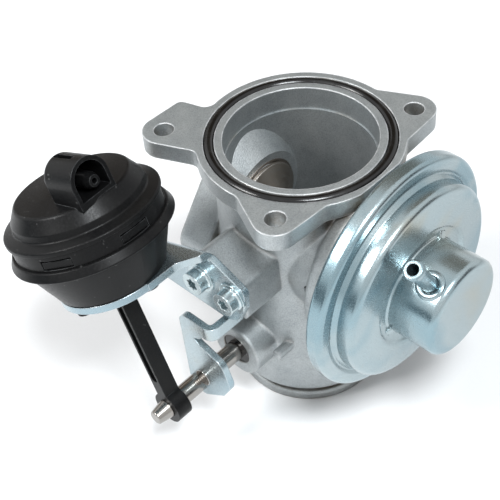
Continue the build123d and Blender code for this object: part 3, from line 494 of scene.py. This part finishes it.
zinc_can = make_zinc(
    "zinc_can", 0.22, (0.35, 0.425, 0.445), (0.23, 0.34, 0.385), (0.40, 0.385, 0.315))
zinc_plate = make_zinc(
    "zinc_plate", 0.25, (0.42, 0.50, 0.53), (0.30, 0.40, 0.45), (0.46, 0.45, 0.39))
zinc_screw = make_zinc(
    "zinc_screw", 0.2, (0.52, 0.61, 0.63), (0.34, 0.48, 0.53), (0.58, 0.56, 0.48))
print("made", zinc_can.name, zinc_plate.name, zinc_screw.name)


# %% [markdown]
# ### Bright turned steel
# Shaft and crank pin are turned and ground. The tool leaves lines round the part, so the noise is
# squeezed along the part's axis and smooth around it. A thin brown film breaks it up. The same
# finish with other tints serves the valve, stained by heat, the springs and the bronze bushes.

# %% Turned steel
def make_turned(name, tint, rough, stretch):
    material, tree, shader, where, edges = start_material(name, 1.0, 0.0003)
    lines = noise(tree, stretched(tree, where, stretch), 55.0, detail=5.0, roughness=0.75)
    film = spread(tree, noise(tree, where, 120.0, detail=4.0), 0.4, 0.68)
    body = mix_colours(tree, math_node(tree, "MULTIPLY", film, 0.35), tint, (0.36, 0.31, 0.26))
    body = mix_colours(tree, spread(tree, lines, 0.35, 0.65, 0.0, 0.3), body, (0.30, 0.30, 0.30))
    body = mix_colours(tree, edges.outputs["Mask"], body, (0.85, 0.85, 0.86))
    tree.links.new(body, shader.inputs["Base Color"])
    gloss = spread(tree, lines, 0.3, 0.7, rough - 0.06, rough + 0.1)
    tree.links.new(gloss, shader.inputs["Roughness"])
    add_bump(tree, shader, lines, 0.00003, 0.3, edges.outputs["Normal"])
    return material


turned_steel = make_turned("turned_steel", (0.30, 0.285, 0.265), 0.17, (1.0, 60.0, 1.0))
turned_along_x = make_turned("turned_steel_x", (0.55, 0.54, 0.53), 0.26, (60.0, 1.0, 1.0))
heat_steel = make_turned("heat_stained_steel", (0.33, 0.29, 0.25), 0.38, (40.0, 3.0, 3.0))
spring_wire = make_turned("spring_wire", (0.42, 0.42, 0.43), 0.3, (8.0, 8.0, 8.0))
bush_bronze = make_turned("bush_bronze", (0.58, 0.42, 0.22), 0.42, (3.0, 3.0, 3.0))
print("made", turned_steel.name, turned_along_x.name, heat_steel.name, spring_wire.name,
      bush_bronze.name)


# %% [markdown]
# ### Black glass-filled plastic
# The capsule and the rod are moulded in black nylon with glass fibre. The skin is not jet black: the
# fibres show as a fine grey mottle, broad sides have a soft sheen, and edges are rubbed lighter.

# %% Black plastic
def make_black_plastic():
    material, tree, shader, where, edges = start_material("black_nylon", 0.0, 0.0004)
    shader.inputs["Specular IOR Level"].default_value = 0.15
    fibres = noise(tree, where, 1500.0, detail=4.0, roughness=0.7)
    cloud = noise(tree, where, 60.0, detail=3.0)
    body = mix_colours(tree, spread(tree, cloud, 0.35, 0.65),
                       (0.0035, 0.0036, 0.004), (0.0065, 0.0065, 0.0065))
    body = mix_colours(tree, spread(tree, fibres, 0.45, 0.75, 0.0, 0.5), body,
                       (0.014, 0.0145, 0.015))
    specks = spread(tree, noise(tree, where, 520.0, detail=2.0), 0.70, 0.74)
    body = mix_colours(tree, math_node(tree, "MULTIPLY", specks, 0.35), body, (0.12, 0.12, 0.12))
    rubs = spread(tree, noise(tree, where, 340.0, detail=3.0), 0.38, 0.62, 0.15, 0.8)
    wear = math_node(tree, "MULTIPLY", edges.outputs["Mask"], rubs)
    body = mix_colours(tree, wear, body, (0.13, 0.135, 0.14))
    tree.links.new(body, shader.inputs["Base Color"])
    tree.links.new(spread(tree, fibres, 0.3, 0.7, 0.28, 0.42), shader.inputs["Roughness"])
    add_bump(tree, shader, fibres, 0.00005, 0.35, edges.outputs["Normal"])
    return material


black_nylon = make_black_plastic()
print("made", black_nylon.name)


# %% [markdown]
# ### Black rubber
# The seals are moulded rubber, dull where they are dusty and shiny where they are clean.

# %% Rubber
def make_rubber():
    material, tree, shader, where, edges = start_material("black_rubber", 0.0, 0.0003)
    film = noise(tree, where, 130.0, detail=4.0)
    skin = noise(tree, where, 2200.0, detail=2.0)
    body = mix_colours(tree, spread(tree, film, 0.45, 0.7),
                       (0.0015, 0.0016, 0.002), (0.004, 0.004, 0.004))
    body = mix_colours(tree, edges.outputs["Mask"], body, (0.018, 0.018, 0.019))
    tree.links.new(body, shader.inputs["Base Color"])
    tree.links.new(spread(tree, film, 0.35, 0.7, 0.12, 0.35), shader.inputs["Roughness"])
    add_bump(tree, shader, skin, 0.00003, 0.3, edges.outputs["Normal"])
    return material


seal_rubber = make_rubber()
print("made", seal_rubber.name)


# %% [markdown]
# ## Finishes on the solids
# Every node of the frame keeps its mesh and gets one of the finishes above.

# %% Assign finishes
finish_of = {
    "housing": cast_aluminium,
    "flange_oring": seal_rubber, "shaft_seal": seal_rubber, "stem_seal": seal_rubber,
    "actuator_diaphragm": seal_rubber, "capsule_diaphragm": seal_rubber,
    "actuator_base": zinc_can, "actuator_shell": zinc_can, "actuator_nipple": zinc_can,
    "capsule_bracket": zinc_plate, "flap_lever": zinc_plate,
    "bracket_screws": zinc_screw, "base_screws": zinc_screw, "flap_screws": zinc_screw,
    "flap_shaft": turned_steel, "crank_pin": turned_steel, "shaft_plug": turned_steel,
    "actuator_washer": turned_along_x, "actuator_piston": turned_along_x,
    "egr_valve": heat_steel, "valve_seat_ring": heat_steel, "flap_disc": turned_along_x,
    "actuator_spring": spring_wire, "capsule_spring": spring_wire,
    "valve_guide": bush_bronze, "shaft_bush_front": bush_bronze, "shaft_bush_rear": bush_bronze,
    "capsule_cap": black_nylon, "capsule_shell": black_nylon, "pull_rod": black_nylon,
    "capsule_piston": black_nylon,
}
for node_name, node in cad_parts.items():
    node.data.materials.clear()
    node.data.materials.append(finish_of[node_name])
print("finishes given to", len(finish_of), "nodes, none missing:",
      sorted(set(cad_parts) - set(finish_of)) == [])

# %% [markdown]
# ## The two cap screws
# Two screws with a collar and a six-lobed socket hold the capsule's bracket. The solid is plainer, so
# a finer pair stands for it. One screw is modelled upright, from sizes in millimetres: the collar
# first, then a low foot with the head on it, then the shank. A cylinder shaped into a star with six
# round lobes is the tool that will cut the socket.

# %% Cap screw
screw_places = ((-4.4, -33.6, 0.3), (9.8, -33.4, 0.9))
bracket_face_y = -47.0
shank_r = 2.5
shank_len = 12.5
collar_r = 5.8
collar_t = 1.2
head_r = 4.3
head_top = 5.2
head_foot = 0.25
head_foot_h = 0.35
lobe_r = 2.45
lobe_depth = 2.6
lobe_wave = 0.14
round_steps = 72


def make_cap_screw():
    """One screw, upright, with the collar's lower face at zero."""
    deselect_all()
    bpy.ops.mesh.primitive_cylinder_add(vertices=round_steps, radius=collar_r * mm,
                                        depth=collar_t * mm, location=(0, 0, collar_t / 2 * mm))
    screw = bpy.context.object
    screw.name = "cap_screws"
    # The head grows out of the collar's top face
    pick(screw, faces=lambda f: f.normal.z > 0.9)
    bpy.ops.mesh.inset(thickness=(collar_r - head_r - head_foot) * mm)
    raise_faces(head_foot_h)
    bpy.ops.mesh.inset(thickness=head_foot * mm)
    raise_faces(head_top - collar_t - head_foot_h)
    leave_edit()
    # The shank goes down from the collar's lower face
    pick(screw, faces=lambda f: f.normal.z < -0.9)
    bpy.ops.mesh.inset(thickness=(collar_r - shank_r) * mm)
    raise_faces(-shank_len)
    leave_edit()
    print("one screw has", len(screw.data.polygons), "faces before its socket is cut")
    return screw


def make_lobe_cutter():
    """A star with six round lobes that reaches the socket's depth below the head's top."""
    deselect_all()
    bpy.ops.mesh.primitive_cylinder_add(vertices=round_steps, radius=lobe_r * mm,
                                        depth=2 * lobe_depth * mm, location=(0, 0, head_top * mm))
    cutter = bpy.context.object
    for vertex in cutter.data.vertices:
        flat = Vector((vertex.co.x, vertex.co.y))
        around = flat.angle_signed(Vector((1, 0)))
        vertex.co.x, vertex.co.y = flat * (1 - lobe_wave + lobe_wave * cos(6 * around))
    return cutter


cap_screws = make_cap_screw()
cutter = make_lobe_cutter()

# %% [markdown]
# The star is cut out of the head. The finished screw is laid along the shaft's direction, and each of
# the two is turned a little about its own axis, as real screws stop at any angle.

# %% Both cap screws
only(cap_screws)
socket_cut = cap_screws.modifiers.new("socket", "BOOLEAN")
socket_cut.object = cutter
socket_cut.operation = "DIFFERENCE"
bpy.ops.object.modifier_apply(modifier="socket")
bpy.data.objects.remove(cutter)
cap_screws.rotation_euler = (pi / 2, 0, 0)
settle(cap_screws)
other_screw = second_copy(cap_screws)
for screw, (hole_x, hole_z, angle) in zip((cap_screws, other_screw), screw_places):
    screw.rotation_euler = (0, angle, 0)
    screw.location = (hole_x * mm, bracket_face_y * mm, hole_z * mm)
    settle(screw)
join_into(cap_screws, other_screw)
finish_piece(cap_screws, "valve_housing", zinc_screw)
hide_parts("bracket_screws")

# %% [markdown]
# ## Collar round the vacuum tube
# Where the steel tube enters the spring cup, the cup's wall is drawn up into a low collar and the
# tube is brazed in it. A torus is flattened into a collar and then bent over the round cup, so that it
# touches the wall all the way round. It is then turned to the tube's direction, square to the can.

# %% Tube collar
cup_r = 17.7
tube_x = 61.9
valve_z = -37.0
tube_angle = 56.8
collar_mean_r = 3.9
collar_wire_r = 1.15
collar_height = 0.75
collar_sink = 0.05

deselect_all()
bpy.ops.mesh.primitive_torus_add(major_radius=collar_mean_r * mm, minor_radius=collar_wire_r * mm,
                                 major_segments=72, minor_segments=18)
tube_collar = bpy.context.object
tube_collar.name = "tube_collar"
for vertex in tube_collar.data.vertices:
    across = vertex.co.y
    sag = cup_r * mm - sqrt((cup_r * mm) ** 2 - across ** 2)
    vertex.co.z = vertex.co.z * collar_height + (cup_r - collar_sink) * mm - sag
tube_way = Vector((0, -cos(radians(tube_angle)), sin(radians(tube_angle))))
side_way = Vector((1, 0, 0))
tube_collar.matrix_world = Matrix.Translation((tube_x * mm, 0, valve_z * mm)) @ Matrix(
    (side_way, tube_way.cross(side_way), tube_way)).transposed().to_4x4()
finish_piece(tube_collar, "valve_housing", zinc_can, 60)

# %% [markdown]
# ## Staking marks at the cup's foot
# The spring cup is held in its recess by two small wedges, pushed out of the sheet where it meets the
# cup's wall. One wedge is made from a block whose outer edge is pulled down and whose edges are
# bevelled. It is then stood in the recess at its angle, and copied to the second angle.

# %% Staking marks
recess_x = 51.4
stake_angles = (33.0, -120.0)
stake_wide = 3.4
stake_deep = 2.8
stake_tall = 1.7
stake_foot = 0.15
stake_back = 0.3
stake_drop = 1.35
stake_round = 0.55


def make_stake():
    """A wedge with its back on the cup's wall, X up along the can's axis and Z outwards."""
    deselect_all()
    bpy.ops.mesh.primitive_cube_add(size=1.0)
    stake = bpy.context.object
    stake.name = "cup_stakes"
    stake.scale = (stake_tall * mm, stake_wide * mm, stake_deep * mm)
    stake.location = ((stake_tall / 2 - stake_foot) * mm, 0,
                      (cup_r + stake_deep / 2 - stake_back) * mm)
    settle(stake)
    # The outer top edge comes down, which makes the block a wedge
    pick(stake, edges=lambda e: all(v.co.x > 0 and v.co.z > cup_r * mm for v in e.verts))
    bpy.ops.transform.translate(value=(-stake_drop * mm, 0, 0))
    leave_edit()
    pick(stake, edges=lambda e: all(v.co.x > 0 for v in e.verts))
    bpy.ops.mesh.bevel(offset=stake_round * mm, segments=4)
    leave_edit()
    return stake


cup_stakes = make_stake()
other_stake = second_copy(cup_stakes)
for stake, angle in zip((cup_stakes, other_stake), stake_angles):
    stake.rotation_euler = (-radians(angle), 0, 0)
    stake.location = (recess_x * mm, 0, valve_z * mm)
    settle(stake)
join_into(cup_stakes, other_stake)
finish_piece(cup_stakes, "valve_housing", zinc_can, 60)

# %% [markdown]
# ## Studio
# The object stands on a plain pale floor under soft light. The background is white because the world
# shows white to the camera and to reflections, while the light that falls on the object stays at a
# plain level. The floor keeps a soft shadow.

# %% Floor
floor_gap = 0.05
floor_side = 6.0
deselect_all()
bpy.ops.mesh.primitive_plane_add(size=floor_side, location=(0, 0, cad_box[0][2] - floor_gap * mm))
floor = bpy.context.object
floor.name = "studio_floor"


def make_floor_material():
    material = bpy.data.materials.new("pale_floor")
    material.use_nodes = True
    tree = material.node_tree
    shader = tree.nodes["Principled BSDF"]
    shader.inputs["Roughness"].default_value = 0.9
    shader.inputs["Specular IOR Level"].default_value = 0.1
    where = tree.nodes.new("ShaderNodeTexCoord").outputs["Object"]
    paper = noise(tree, where, 900.0, detail=2.0)
    tree.links.new(mix_colours(tree, paper, (0.90, 0.90, 0.90), (0.93, 0.93, 0.93)),
                   shader.inputs["Base Color"])
    return material


floor.data.materials.append(make_floor_material())
print("floor at", round(floor.location.z / mm, 2), "mm")

# %% [markdown]
# Light Path tells which ray asks. Camera, glossy and transmission rays get the white background, and
# all other rays get a dimmer, slightly blue light.

# %% World
sky_colour = (0.97, 0.985, 1.0)
sky_strength = 0.45


def make_world():
    world = bpy.data.worlds.new("studio")
    bpy.context.scene.world = world
    world.use_nodes = True
    tree = world.node_tree
    tree.nodes.clear()
    out = tree.nodes.new("ShaderNodeOutputWorld")
    light = tree.nodes.new("ShaderNodeBackground")
    light.inputs["Color"].default_value = (*sky_colour, 1.0)
    light.inputs["Strength"].default_value = sky_strength
    white = tree.nodes.new("ShaderNodeBackground")
    white.inputs["Color"].default_value = (1.0, 1.0, 1.0, 1.0)
    white.inputs["Strength"].default_value = 1.0
    rays = tree.nodes.new("ShaderNodeLightPath")
    seen = math_node(tree, "MAXIMUM", rays.outputs["Is Camera Ray"], rays.outputs["Is Glossy Ray"])
    seen = math_node(tree, "MAXIMUM", seen, rays.outputs["Is Transmission Ray"])
    mix = tree.nodes.new("ShaderNodeMixShader")
    tree.links.new(seen, mix.inputs["Fac"])
    tree.links.new(light.outputs["Background"], mix.inputs[1])
    tree.links.new(white.outputs["Background"], mix.inputs[2])
    tree.links.new(mix.outputs["Shader"], out.inputs["Surface"])


make_world()
print("sky of strength", sky_strength)


# %% [markdown]
# Bare metal only looks like metal when it has something dark to reflect. Photographers hang coloured
# cards round the object for that. These cards are part of the stage: the camera and the soft light
# pass through them, and only reflections see them. A warm brown one hangs high at the back, where
# the upward faces look, and a second one lower at the left, for the bracket's arm. A dark one at the
# right and a dark teal one low in front give the steel can its bands.

# %% Cards
middle = (0.0, -0.02, -0.05)


def make_card(name, way, distance, size, colour):
    """A flat card at a distance, in metres, from the object's middle, facing it."""
    deselect_all()
    bpy.ops.mesh.primitive_plane_add(size=1.0)
    card = bpy.context.object
    card.name = name
    card.scale = (*size, 1.0)
    outwards = Vector(way).normalized()
    card.location = Vector(middle) + distance * outwards
    card.rotation_euler = outwards.to_track_quat("Z", "Y").to_euler()
    card.visible_camera = False
    card.visible_diffuse = False
    card.visible_shadow = False
    material = bpy.data.materials.new(name)
    material.use_nodes = True
    shader = material.node_tree.nodes["Principled BSDF"]
    shader.inputs["Base Color"].default_value = (0.0, 0.0, 0.0, 1.0)
    shader.inputs["Specular IOR Level"].default_value = 0.0
    shader.inputs["Emission Color"].default_value = (*colour, 1.0)
    shader.inputs["Emission Strength"].default_value = 1.0
    card.data.materials.append(material)


make_card("brown_card", (-0.48, 0.56, 0.67), 0.7, (0.62, 0.5), (0.20, 0.165, 0.12))
make_card("brown_low_card", (-0.9, 0.42, 0.12), 0.6, (0.5, 0.3), (0.20, 0.165, 0.13))
make_card("dark_side_card", (0.82, 0.50, 0.28), 0.6, (0.42, 0.3), (0.07, 0.075, 0.08))
make_card("teal_card", (-0.38, -0.9, 0.03), 0.5, (0.6, 0.18), (0.045, 0.10, 0.125))
print("cards placed")

# %% [markdown]
# Two soft lamps: a large one high on the camera's left, which models the casting, and a smaller one
# nearly overhead, which gives the cone of the black capsule its sheen.

# %% Lamps
def softbox(name, place, target, size, power, colour=(1.0, 1.0, 1.0)):
    """An area lamp of a size and at a place, in metres, that looks at the target."""
    lamp = bpy.data.lights.new(name, "AREA")
    lamp.shape = "RECTANGLE"
    lamp.size, lamp.size_y = size
    lamp.energy = power
    lamp.color = colour
    obj = bpy.data.objects.new(name, lamp)
    bpy.context.collection.objects.link(obj)
    obj.location = place
    obj.rotation_euler = (Vector(target) - Vector(place)).to_track_quat("-Z", "Y").to_euler()


softbox("key_left", (-0.45, -0.75, 0.75), middle, (0.35, 0.35), 9.0)
softbox("overhead", (0.40, -0.22, 0.80), (-0.02, -0.06, 0.0), (0.24, 0.24), 8.0,
        (0.93, 0.97, 1.0))
print("lamps placed")

# %% [markdown]
# ## Camera
# The photograph looks down at about 45 degrees from the front right, slightly rolled. The camera was
# solved from the round edges of the flange, the spigot and the can. A long lens a little way off
# gives the photograph's mild perspective.

# %% Camera
turn = radians(47.33)
rise = radians(45.15)
roll = radians(-5.47)
distance = 0.36606
slide_right = 0.01681
slide_up = 0.03799
lens_mm = 79.2
sensor_mm = 36.0
ahead = Vector((-sin(turn) * cos(rise), cos(turn) * cos(rise), -sin(rise)))
level_right = Vector((cos(turn), sin(turn), 0.0))
level_up = level_right.cross(ahead)
picture_right = cos(roll) * level_right + sin(roll) * level_up
picture_up = -sin(roll) * level_right + cos(roll) * level_up
camera_place = -distance * ahead - slide_right * picture_right - slide_up * picture_up
camera_data = bpy.data.cameras.new("photo_camera")
camera_data.lens = lens_mm
camera_data.sensor_width = sensor_mm
camera_data.clip_start = 0.01
camera = bpy.data.objects.new("photo_camera", camera_data)
bpy.context.collection.objects.link(camera)
axes = Matrix((picture_right, picture_up, -ahead)).transposed()
camera.matrix_world = Matrix.Translation(camera_place) @ axes.to_4x4()
bpy.context.scene.camera = camera
bpy.context.scene.view_settings.view_transform = "Standard"
print("camera at", [round(value, 4) for value in camera_place])
